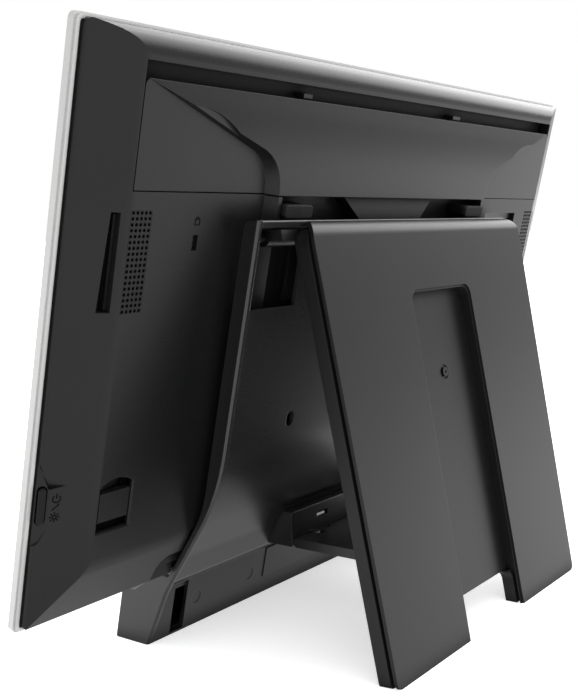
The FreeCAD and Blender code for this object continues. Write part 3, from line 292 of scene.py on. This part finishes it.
# ---- which material each CAD node takes --------------------------------------------------
def paint_nodes():
    """Gives every carried-over CAD node its finished material."""
    shell, stand, leg = shell_plastic(), stand_plastic(), leg_plastic()
    steel = metal("zinc_steel", (0.55, 0.55, 0.56), 0.35, True)
    pin = metal("pin_steel", (0.62, 0.62, 0.63), 0.22, True)
    black_steel = metal("black_steel", (0.035, 0.035, 0.037), 0.38, False)
    port = gloss_plastic("port_plastic", (0.004, 0.004, 0.0045), 0.3, 0.2)
    soft_black, board, grille = rubber(), circuit_green(), grille_plastic()
    button = gloss_plastic("button_plastic", (0.002, 0.002, 0.0022), 0.15, 0.12)
    case = gloss_plastic("speaker_case", (0.003, 0.003, 0.003), 0.5)
    finishes = {
        "front_bezel": silver_paint(), "mid_frame": dark_frame(), "front_glass": screen_glass(),
        "lcd_panel": gloss_plastic("lcd_film", (0.01, 0.01, 0.012), 0.15),
        "light_guide": gloss_plastic("acrylic_guide", (0.7, 0.72, 0.72), 0.2),
        "ribbon_cable": gloss_plastic("ribbon_film", (0.6, 0.6, 0.57), 0.35),
        "inner_chassis": steel, "board_screws": steel, "cover_screws": steel, "lock_plate": steel,
        "hinge_brackets": black_steel, "leg_hinge_leaves": black_steel, "hinge_pins": black_steel,
        "main_board": board, "led_driver_board": board, "wifi_module": board,
        "rear_cover": shell, "back_door": door_plastic(), "slide_latch": shell,
        "power_button": button, "button_switch": port, "card_reader": port, "usb_block": port,
        "connector_block": port, "speaker_left": case, "speaker_right": case,
        "grille_left": grille, "grille_right": grille, "rubber_bumpers": soft_black,
        "stand_plate": stand, "brace": stand, "leg_catches": stand,
        "foot_pads": soft_black, "leg_foot_pads": soft_black,
        "stand_screws": black_steel, "leg_screw": black_steel,
        "brace_pin": pin, "brace_end_pin": pin,
        "leg_front_shell": leg, "leg_rear_cover": leg,
    }
    for name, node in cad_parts.items():
        node.data.materials.clear()
        node.data.materials.append(finishes[name])


# ---- small raised marks ------------------------------------------------------------------
STROKE = 0.30             # radius of a raised line, in millimetres
# The rear cover's sides slope from CREASE, where its flat back ends, down to the rim.
PLATEAU, CREASE = 16.5, 201.3
RIM_DEPTH, RIM_SIDE = 7.3, 226.7
SIDE_FALL = (PLATEAU - RIM_DEPTH) / (RIM_SIDE - CREASE)
SIGN_X, POWER_Z, LAMP_Z = 218.4, 67.6, 59.0     # the power ring's middle, and the lamp sign's height
LOCK_X, LOCK_SIGN_LOW, LOCK_SIGN_HIGH = 158.1, 188.0, 190.4


def arc(across, up, radius, start, end, steps=14):
    """Points of a circular arc; angles in degrees, counted from upwards."""
    angles = [math.radians(start + (end - start) * i / steps) for i in range(steps + 1)]
    return [(across + radius * math.sin(a), up + radius * math.cos(a)) for a in angles]


def raised_lines(name, lines, place):
    """Fine raised lines on a surface; place turns (across, up) millimetres into a world point."""
    data = bpy.data.curves.new(name, "CURVE")
    data.dimensions = "3D"
    data.bevel_depth = STROKE / 1000
    data.bevel_resolution = 3
    data.use_fill_caps = True
    for line in lines:
        spline = data.splines.new("POLY")
        spline.points.add(len(line) - 1)
        for point, (across, up) in zip(spline.points, line):
            point.co = (*place(across, up), 1.0)
    piece = bpy.data.objects.new(name, data)
    bpy.context.scene.collection.objects.link(piece)
    # the raised marks get a darker, more matte finish than the cover round them
    n = Nodes(name + "_dark_matte")
    n.set("Base Color", n.mix(n.noise(900.0), (0.0015, 0.0015, 0.0016), (0.003, 0.003, 0.0032)))
    n.set("Roughness", 0.7)
    n.set("Specular IOR Level", 0.05)
    data.materials.append(n.material)
    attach(piece, "head")
    return piece


def on_slope(across, up):
    """Point on the rear cover's sloping side."""
    return head_point(across, PLATEAU - (across - CREASE) * SIDE_FALL, up)


def button_marks():
    """Power ring, slash and lamp sign beside the button, drawn across the slope."""
    ring = arc(SIGN_X, POWER_Z, 1.7, 40, 320)
    tick = [(SIGN_X, POWER_Z + 0.2), (SIGN_X, POWER_Z + 2.5)]
    slash = [(SIGN_X - 1.4, POWER_Z - 2.4), (SIGN_X + 1.5, POWER_Z - 5.2)]
    lamp = arc(SIGN_X + 0.2, LAMP_Z, 0.9, 0, 360)
    rays = []
    for angle in range(0, 360, 45):
        rays.append([arc(SIGN_X + 0.2, LAMP_Z, radius, angle, angle, 1)[0] for radius in (1.5, 2.3)])
    raised_lines("button_marks", [ring, tick, slash, lamp] + rays, on_slope)


def lock_mark():
    """Small padlock sign above the lock slot."""
    left, right = LOCK_X - 1.5, LOCK_X + 1.5
    body = [(left, LOCK_SIGN_LOW), (right, LOCK_SIGN_LOW), (right, LOCK_SIGN_HIGH),
            (left, LOCK_SIGN_HIGH), (left, LOCK_SIGN_LOW)]
    shackle = arc(LOCK_X, LOCK_SIGN_HIGH, 1.0, -90, 90)
    raised_lines("lock_mark", [body, shackle], lambda across, up: head_point(across, PLATEAU, up))


# ---- studio ------------------------------------------------------------------------------
TABLE_SIZE = 60.0         # metres, so that its edge is out of sight
TABLE_GLOW = 0.55         # keeps the table white in the object's shadow
OVERHEAD = ((0.10, 0.42, 1.0), 70.0, 1.4)       # each lamp: where it stands, its width, its strength
FAR_SIDE = ((-0.80, 0.05, 0.62), 56.0, 2.6)

EYE = (0.51264, 0.3252, 0.21658)                # camera position, in metres
LOOK = (-0.79564, -0.59496, -0.11392)           # the way it points
SIDEWAYS = (-0.59651, 0.80226, -0.02371)        # the picture's right
SENSOR, LENS = 36.0, 54.08                      # millimetres, the sensor measured upright


def aim(thing, target):
    """Turns a lamp to shine at target."""
    thing.rotation_euler = (Vector(target) - thing.location).to_track_quat("-Z", "Y").to_euler()


def distant_light(name, source, angle, strength):
    """Distant soft light shining from the direction of source; angle is its width in degrees."""
    data = bpy.data.lights.new(name, "SUN")
    data.angle = math.radians(angle)
    data.energy = strength
    lamp = bpy.data.objects.new(name, data)
    lamp.location = source
    aim(lamp, (0.0, 0.0, 0.0))
    bpy.context.scene.collection.objects.link(lamp)


def studio():
    """White all round, a softly glowing white table, and broad lights overhead and at the far side."""
    world = bpy.data.worlds.new("studio")
    world.use_nodes = True
    world.node_tree.nodes["Background"].inputs["Color"].default_value = (1.0, 1.0, 1.0, 1.0)
    world.node_tree.nodes["Background"].inputs["Strength"].default_value = 1.0
    bpy.context.scene.world = world
    bpy.ops.mesh.primitive_plane_add(size=TABLE_SIZE, location=(0, 0, 0))
    floor = bpy.context.object
    floor.name = "floor"
    n = Nodes("floor_paper")
    n.set("Base Color", n.mix(n.noise(2.0), (0.84, 0.84, 0.84), (0.86, 0.86, 0.86)))
    n.set("Roughness", 0.9)
    n.set("Emission Color", (1.0, 1.0, 1.0))
    n.set("Emission Strength", TABLE_GLOW)
    floor.data.materials.append(n.material)
    distant_light("overhead", *OVERHEAD)
    distant_light("key", *FAR_SIDE)


def camera():
    """The camera of the reference view: behind the object, on its +X side."""
    data = bpy.data.cameras.new("camera")
    data.sensor_fit = "VERTICAL"
    data.sensor_height = SENSOR
    data.lens = LENS
    data.clip_end = 100.0
    eye = bpy.data.objects.new("camera", data)
    look = Vector(LOOK).normalized()
    right = Vector(SIDEWAYS).normalized()
    up = right.cross(look).normalized()
    turn = Matrix((right, up, -look)).transposed()
    eye.matrix_world = Matrix.Translation(EYE) @ turn.to_4x4()
    bpy.context.scene.collection.objects.link(eye)
    bpy.context.scene.camera = eye


camera()
studio()
paint_nodes()
button_marks()
lock_mark()
bpy.context.scene.view_settings.view_transform = "Standard"
